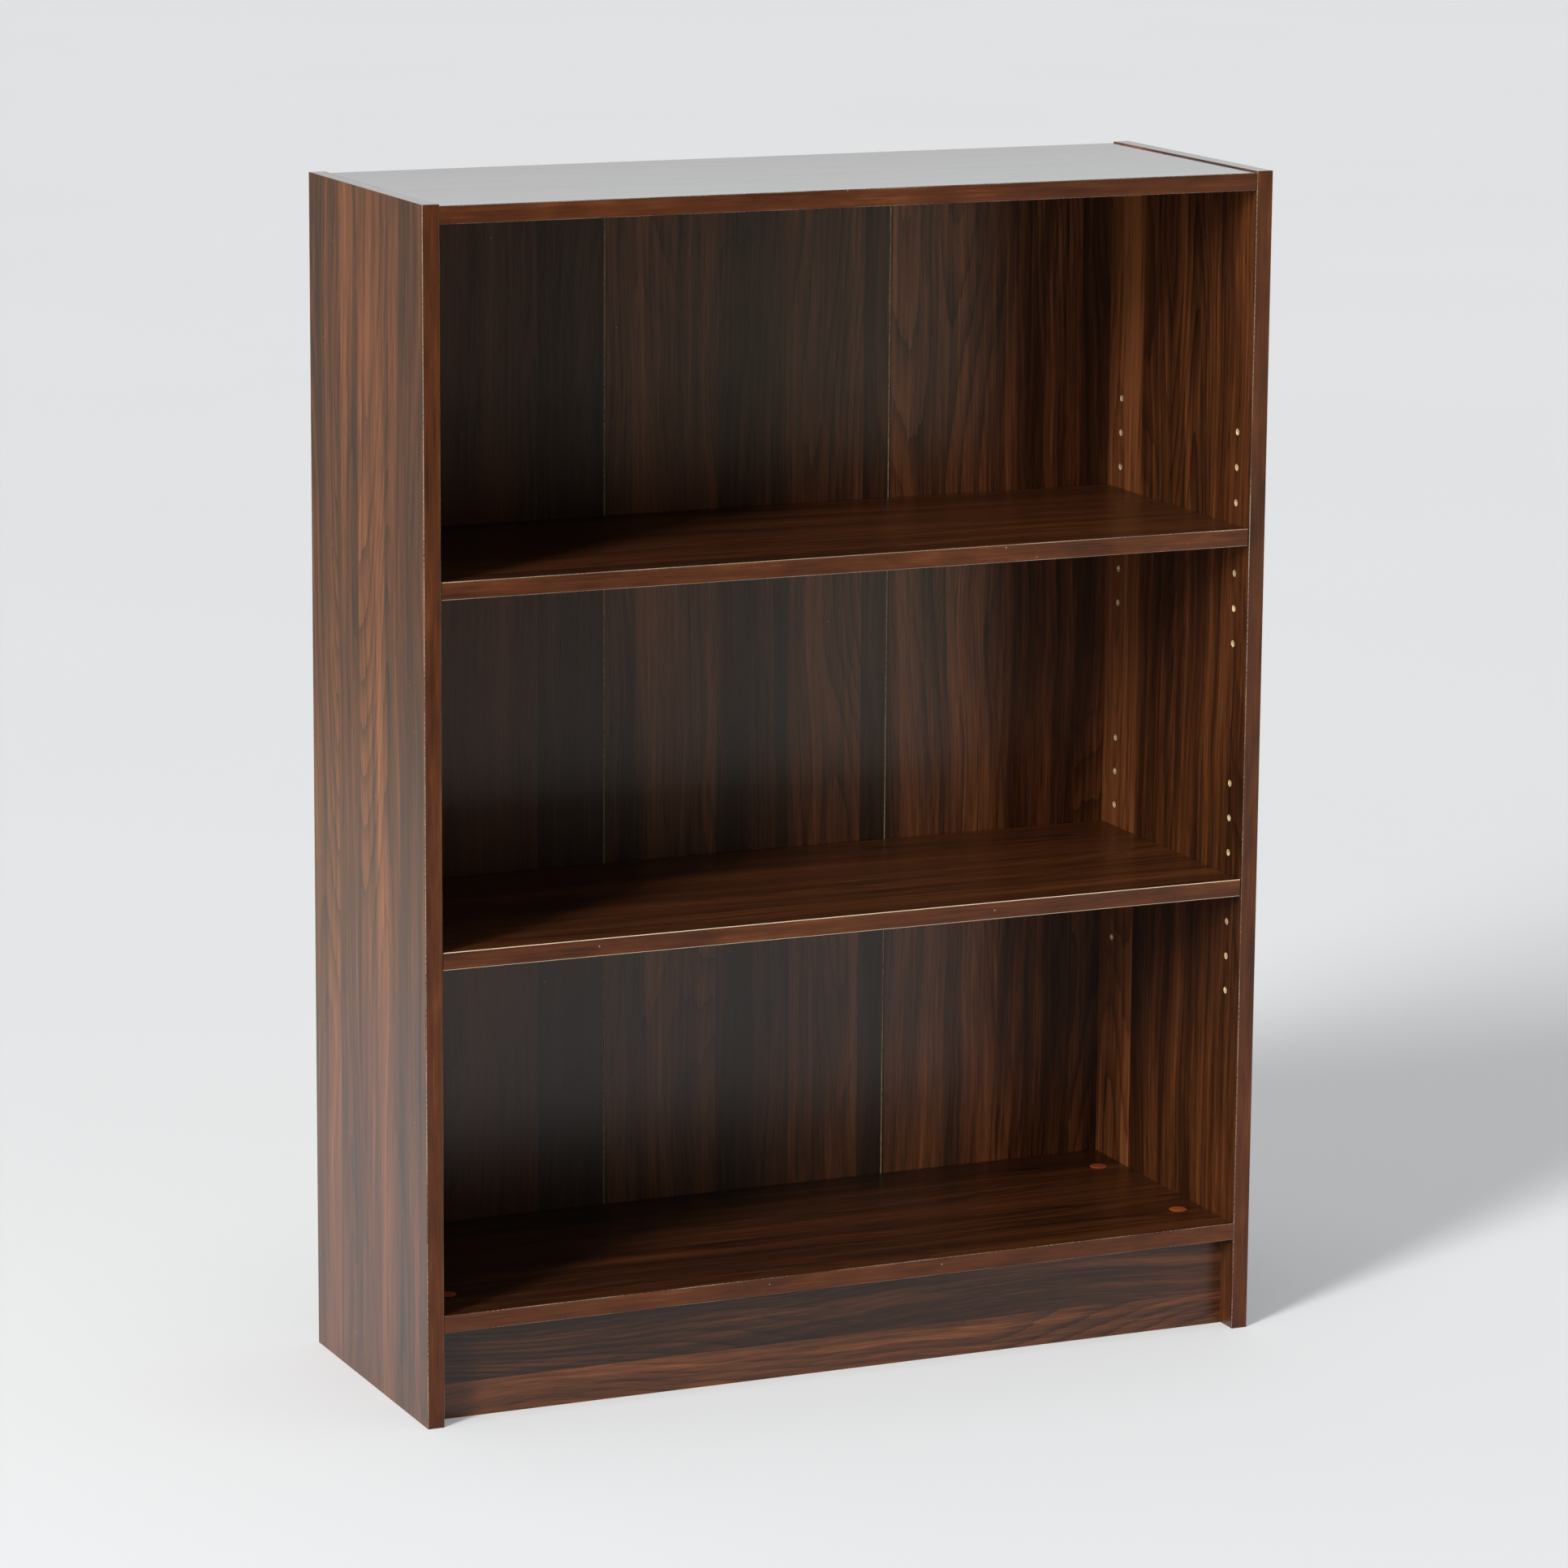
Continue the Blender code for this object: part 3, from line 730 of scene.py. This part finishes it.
def make_plinth():
    """The kick board, with dowel holes in its ends."""
    low, high = box_of("plinth")

    def slot_of_normal(normal):
        return 0 if abs(normal.y) > 0.5 else 1

    faces = walnut("plinth_print", "X", "Z", 78.0, 0.01, 0.40, PLINTH_STAVES, specular=0.45)
    raw = chipboard("plinth_core", 7.0)
    piece = new_piece("plinth_board", board_mesh(low, high, slot_of_normal), [faces, raw])
    ends = bmesh.new()
    end_holes(ends, low, high, [f"plinth_dowel_{row}_{side}" for row in ROWS for side in SIDES])
    cut(piece, [(ends, raw)])
    settle(piece, "plinth")


def make_shelf(row, seed):
    """A shelf with a groove over each pin, long enough for the pin's pull."""
    node = f"{row}_shelf"
    low, high = box_of(node)
    faces = walnut(f"{row}_shelf_print", "X", "Y", seed, -0.03, 0.20, contrast=0.64)
    raw = chipboard(f"{row}_shelf_core", seed)
    piece = new_piece(f"{row}_shelf_board", board_mesh(low, high, end_slot), [faces, raw])
    grooves = bmesh.new()
    for side, hand in SIDES.items():
        for column in COLUMNS:
            pin = f"shelf_pin_{row}_{column}_{side}"
            first, last = box_of(pin)
            centre = (first + last) / 2
            half = (last.y - first.y) / 2 + SLACK
            travel = JOINTS[f"{pin}_pull"]["range_m"][1]
            inner = (first.x if hand > 0 else last.x) - hand * travel
            outer = (high.x if hand > 0 else low.x) + hand * CUT_PAST
            ceiling = last.z + CLEARANCE
            add_groove(grooves, inner, outer, centre.y, half, low.z - CUT_PAST, ceiling)
    cut(piece, [(grooves, raw)])
    settle(piece, node)


def make_back():
    """The three leaves: printed in front, bare fibre board behind."""
    rear = hardboard("back_rear")
    raw = chipboard("back_edge", 2.0)

    def slot_of_normal(normal):
        if abs(normal.y) < 0.5:
            return 2
        return 0 if normal.y < 0 else 1

    for place, contrast in (("left", 0.40), ("middle", 0.75), ("right", 1.0)):
        node = f"back_leaf_{place}"
        name, seed = f"back_print_{place}", 120.0
        faces = walnut(name, "Z", "X", seed, -0.07, 0.55, BACK_STAVES, contrast, specular=0.54)
        bm = board_mesh(*box_of(node), slot_of_normal, BACK_ARRIS)
        settle(new_piece(f"{node}_board", bm, [faces, rear, raw]), node)


# ---------------------------------------------------------------- hardware


def make_pins(material):
    """Turned shelf pins with rounded ends and a shallow grip groove in the middle."""
    for row in ROWS:
        for column in COLUMNS:
            for side, hand in SIDES.items():
                node = f"shelf_pin_{row}_{column}_{side}"
                low, high = box_of(node)
                radius, half = (high.y - low.y) / 2, (high.x - low.x) / 2
                neck, shoulder = radius - PIN_ROUND_OFF, radius - 0.3 * PIN_ROUND_OFF
                outline = [
                    (0, half),
                    (neck, half),
                    (shoulder, half - 0.3 * PIN_ROUND_OFF),
                    (radius, half - PIN_ROUND_OFF),
                    (radius, PIN_GRIP),
                    (neck, PIN_GRIP - PIN_ROUND_OFF),
                ]
                outline += [(width, -place) for width, place in reversed(outline)]
                bm = bmesh.new()
                add_turned(bm, outline, towards_side(hand, (low + high) / 2), TURN_STEPS)
                pin = new_piece(f"{node}_steel", bm, [material])
                smooth(pin)
                settle(pin, node)


def make_caps(material):
    """Low domed caps over the bottom panel's cams, with a stem that plugs into each cam."""
    panel_top = box_of("bottom_panel")[1].z
    for column in COLUMNS:
        for side in SIDES:
            node = f"cam_cap_{column}_{side}"
            low, high = box_of(node)
            centre = (low + high) / 2
            radius = (high.x - low.x) / 2
            top, stem = high.z - panel_top, low.z - panel_top
            outline = [
                (0, top),
                (0.30 * radius, 0.99 * top),
                (0.62 * radius, 0.95 * top),
                (0.84 * radius, 0.84 * top),
                (0.95 * radius, 0.64 * top),
                (radius, 0.38 * top),
                (radius, CLEARANCE),
                (CAP_STEM_RADIUS, CLEARANCE),
                (CAP_STEM_RADIUS, stem),
                (0, stem),
            ]
            bm = bmesh.new()
            place = Matrix.Translation((centre.x, centre.y, panel_top))
            add_turned(bm, outline, place, CAP_STEPS)
            cap = new_piece(f"{node}_plastic", bm, [material])
            smooth(cap, 50)
            settle(cap, node)


def make_nails(material):
    """Flat-headed nails round the edge of the back, into the side, top and bottom panels."""
    leaves = [box_of(f"back_leaf_{place}") for place in ("left", "middle", "right")]
    low_x, high_x = leaves[0][0].x, leaves[-1][1].x
    low_z, high_z = leaves[0][0].z, leaves[0][1].z
    rear = leaves[0][1].y
    draw = random.Random(4)
    places = []
    for x in (low_x + NAIL_FROM_EDGE, high_x - NAIL_FROM_EDGE):
        count = round((high_z - low_z) / NAIL_PITCH)
        places += [(x, low_z + (i + 0.5) * (high_z - low_z) / count) for i in range(count)]
    for z in (low_z + NAIL_FROM_EDGE, high_z - NAIL_FROM_EDGE):
        count = round((high_x - low_x) / NAIL_PITCH)
        places += [(low_x + (i + 0.5) * (high_x - low_x) / count, z) for i in range(count)]
    outline = [
        (0, NAIL_THICKNESS),
        (0.7 * NAIL_HEAD, 0.95 * NAIL_THICKNESS),
        (NAIL_HEAD, 0.55 * NAIL_THICKNESS),
        (NAIL_HEAD, 0),
        (0, 0),
    ]
    nails = bmesh.new()
    for x, z in places:
        x += draw.uniform(-NAIL_STRAY_ACROSS, NAIL_STRAY_ACROSS)
        z += draw.uniform(-NAIL_STRAY_UP, NAIL_STRAY_UP)
        place = Matrix.Translation((x, rear, z)) @ Matrix.Rotation(-math.pi / 2, 4, "X")
        add_turned(nails, outline, place, NAIL_STEPS)
    piece = new_piece("back_nails", nails, [material])
    smooth(piece)
    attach(piece, "carcass")


def finish_cad_nodes(materials):
    """CAD nodes whose shape is right keep it, and take the finish with the longest fitting key."""
    for node, obj in frame["nodes"].items():
        matches = [start for start in materials if node.startswith(start)]
        if not matches or node.startswith("cam_cap"):
            continue
        obj.data.materials.clear()
        obj.data.materials.append(materials[max(matches, key=len)])


# ---------------------------------------------------------------- stage, light, camera


def stage_sheet(name, profile, half, material, in_reflections=True):
    """A sheet that follows (y, z) points, as wide as the stage."""
    bm = bmesh.new()
    rows = [[bm.verts.new((x, y, z)) for x in (-half, half)] for y, z in profile]
    for first, second in zip(rows, rows[1:]):
        bm.faces.new((first[0], first[1], second[1], second[0]))
    sheet = new_piece(name, bm, [material])
    sheet.data.shade_smooth()
    sheet.visible_glossy = in_reflections


def make_stage():
    """A pale floor that fills the view from any side. Only its near part shows in reflections."""
    near, seen, reach = -2.2, 1.35, 120.0
    tree = Tree("floor_paper")
    x, y = tree.axis("X"), tree.axis("Y")
    cloud = tree.noise(tree.vector(tree.scale(x, 0.8), tree.scale(y, 0.8), 0.0), 2.0)
    colour = tree.ramp(cloud, ((0.3, (0.785, 0.799, 0.810)), (0.7, (0.80, 0.814, 0.825))))
    tree.shader.inputs["Emission Color"].default_value = (0.98, 0.99, 1.0, 1.0)
    tree.shader.inputs["Emission Strength"].default_value = 0.18
    paper = tree.finish(colour, 0.9, specular=0.1)
    stage_sheet("near_floor", [(near, 0.0), (seen, 0.0)], reach, paper)
    stage_sheet("rear_floor", [(seen, 0.0), (reach, 0.0)], reach, paper, in_reflections=False)
    stage_sheet("front_floor", [(-reach, 0.0), (near, 0.0)], reach, paper, in_reflections=False)


def direction(azimuth, elevation):
    """Towards this azimuth from the front (negative to the left) and elevation, in degrees."""
    turn, rise = math.radians(azimuth), math.radians(elevation)
    level = math.cos(rise)
    return Vector((level * math.sin(turn), -level * math.cos(turn), math.sin(rise)))


def add_sun(name, azimuth, elevation, irradiance, width, colour):
    """Distant soft light of this many degrees across, even over the whole floor."""
    data = bpy.data.lights.new(name, "SUN")
    data.energy = irradiance
    data.angle = math.radians(width)
    data.color = colour
    light = bpy.data.objects.new(name, data)
    light.rotation_euler = (-direction(azimuth, elevation)).to_track_quat("-Z", "Y").to_euler()
    bpy.context.scene.collection.objects.link(light)


def add_area_light(name, place, target, size, radiance, colour, only_reflected=False):
    """A softbox of this radiance, unseen by the camera. It can show in reflections alone."""
    data = bpy.data.lights.new(name, "AREA")
    data.shape = "RECTANGLE"
    data.size, data.size_y = size
    data.energy = radiance * math.pi * size[0] * size[1]
    data.color = colour
    light = bpy.data.objects.new(name, data)
    light.location = place
    light.rotation_euler = (Vector(target) - Vector(place)).to_track_quat("-Z", "Y").to_euler()
    light.visible_camera = False
    light.visible_diffuse = not only_reflected
    bpy.context.scene.collection.objects.link(light)


# Softboxes: place, target, size, radiance and colour. The sheen lights show in reflections alone.
FILL_LIGHT = ((-2.60, -1.55, 1.25), (0.0, 0.0, 0.75), (0.9, 1.1), 7.0, (1.0, 0.99, 0.98))
SHEEN_LIGHTS = {
    "rear_glow": ((0.5, 2.3, 2.1), (0.5, 0.0, 1.3), (5.0, 1.6), 1.15, (0.96, 0.99, 1.0)),
    "left_glow": ((-2.2, 3.4, 0.0), (-0.4, 0.0, 0.6), (3.4, 2.6), 0.36, (1.0, 0.95, 0.82)),
    "left_low_glow": ((-1.9, 3.4, -0.9), (-0.4, 0.0, 0.3), (3.4, 1.4), 0.45, (1.0, 0.95, 0.82)),
    "side_reflector": ((1.54, -1.61, 0.45), (0.2, 0.1, 0.45), (1.4, 0.9), 1.0, (1.0, 0.98, 0.80)),
}
KEY_ELEVATIONS = (18.7, 29.0, 39.3)


def light_scene():
    """A broad key from the left, a soft overhead, a fill, and the sheen lights."""
    world = bpy.data.worlds.new("studio")
    world.use_nodes = True
    background = world.node_tree.nodes["Background"]
    background.inputs["Color"].default_value = (1.0, 1.0, 1.0, 1.0)
    nodes, links = world.node_tree.nodes, world.node_tree.links
    strength = nodes.new("ShaderNodeMapRange")
    strength.inputs["To Min"].default_value = 0.20
    strength.inputs["To Max"].default_value = 0.76
    links.new(nodes.new("ShaderNodeLightPath").outputs["Is Camera Ray"], strength.inputs["Value"])
    links.new(strength.outputs[0], background.inputs["Strength"])
    bpy.context.scene.world = world
    world.cycles_visibility.glossy = False
    for part, elevation in enumerate(KEY_ELEVATIONS):
        add_sun(f"key_{part}", -60, elevation, 0.82, 10.3, (1.0, 0.985, 0.97))
    add_sun("overhead", 0, 86, 0.55, 36.0, (0.95, 0.98, 1.0))
    add_area_light("fill", *FILL_LIGHT)
    for name, settings in SHEEN_LIGHTS.items():
        add_area_light(name, *settings, only_reflected=True)


CAMERA_PLACE = (-2.1785, -4.8870, 1.6176)
CAMERA_YAW, CAMERA_PITCH, CAMERA_ROLL = 0.41856, -0.20383, 0.00715
CAMERA_LENS = 140.29


def add_camera():
    """At the photographed angle, with a long lens. yaw turns to the right, in radians."""
    data = bpy.data.cameras.new("camera")
    data.sensor_width = 36.0
    data.lens = CAMERA_LENS
    data.clip_end = 300.0
    camera = bpy.data.objects.new("camera", data)
    level, rise = math.cos(CAMERA_PITCH), math.sin(CAMERA_PITCH)
    ahead = Vector((math.sin(CAMERA_YAW) * level, math.cos(CAMERA_YAW) * level, rise))
    right = Vector((math.cos(CAMERA_YAW), -math.sin(CAMERA_YAW), 0.0))
    up = right.cross(ahead)
    tilted_right = right * math.cos(CAMERA_ROLL) + up * math.sin(CAMERA_ROLL)
    tilted_up = up * math.cos(CAMERA_ROLL) - right * math.sin(CAMERA_ROLL)
    turn = Matrix((tilted_right, tilted_up, -ahead)).transposed().to_4x4()
    camera.matrix_world = Matrix.Translation(CAMERA_PLACE) @ turn
    bpy.context.scene.collection.objects.link(camera)
    bpy.context.scene.camera = camera


# ---------------------------------------------------------------- the scene

bpy.context.scene.view_settings.view_transform = "Standard"
add_camera()
light_scene()
make_stage()

for side_name, side_hand in SIDES.items():
    make_side_panel(side_name, side_hand)
    side_wear = 0.14 - 0.04 * side_hand
    side_tone = -0.02 - 0.02 * side_hand
    side_core = f"{side_name}_side_panel"
    make_edging(f"{side_name}_side_edging", "Z", 11.0 + side_hand, side_wear, side_core, side_tone)
make_fixed_panel("top", -1, 210.0)
make_fixed_panel("bottom", 1, 230.0)
make_plinth()
for row_name, row_seed in zip(ROWS, (250.0, 270.0)):
    make_shelf(row_name, row_seed)
for strip, strip_wear in EDGE_WEAR.items():
    strip_core = f"{strip}_panel" if strip in ("top", "bottom") else strip
    make_edging(f"{strip}_edging", "X", len(strip) * 3.0, strip_wear, strip_core)
make_back()
make_pins(metal("nickel_plate", (0.60, 0.58, 0.54), 0.28, 900.0, 0.00001))
make_caps(cap_plastic("cap_plastic_moulded"))
make_nails(metal("bright_nail", (0.50, 0.49, 0.47), 0.40, 700.0, 0.00002))
finish_cad_nodes(
    {
        "cam_": metal("cast_zinc", (0.46, 0.47, 0.49), 0.46, 1400.0, 0.00004),
        "cam_bolt": metal("yellow_zinc_plate", (0.62, 0.50, 0.27), 0.34, 1100.0, 0.00002),
        "dowel": beech("raw_beech"),
        "plinth_dowel": beech("raw_beech_plinth"),
        # The left fold tape takes the darker colours, which are painted shade.
        "back_fold_tape_left": paper_tape("shaded_kraft_tape", *SHADED_TAPE),
        "back_fold_tape_right": paper_tape("kraft_tape", *UNSHADED_TAPE),
    }
)
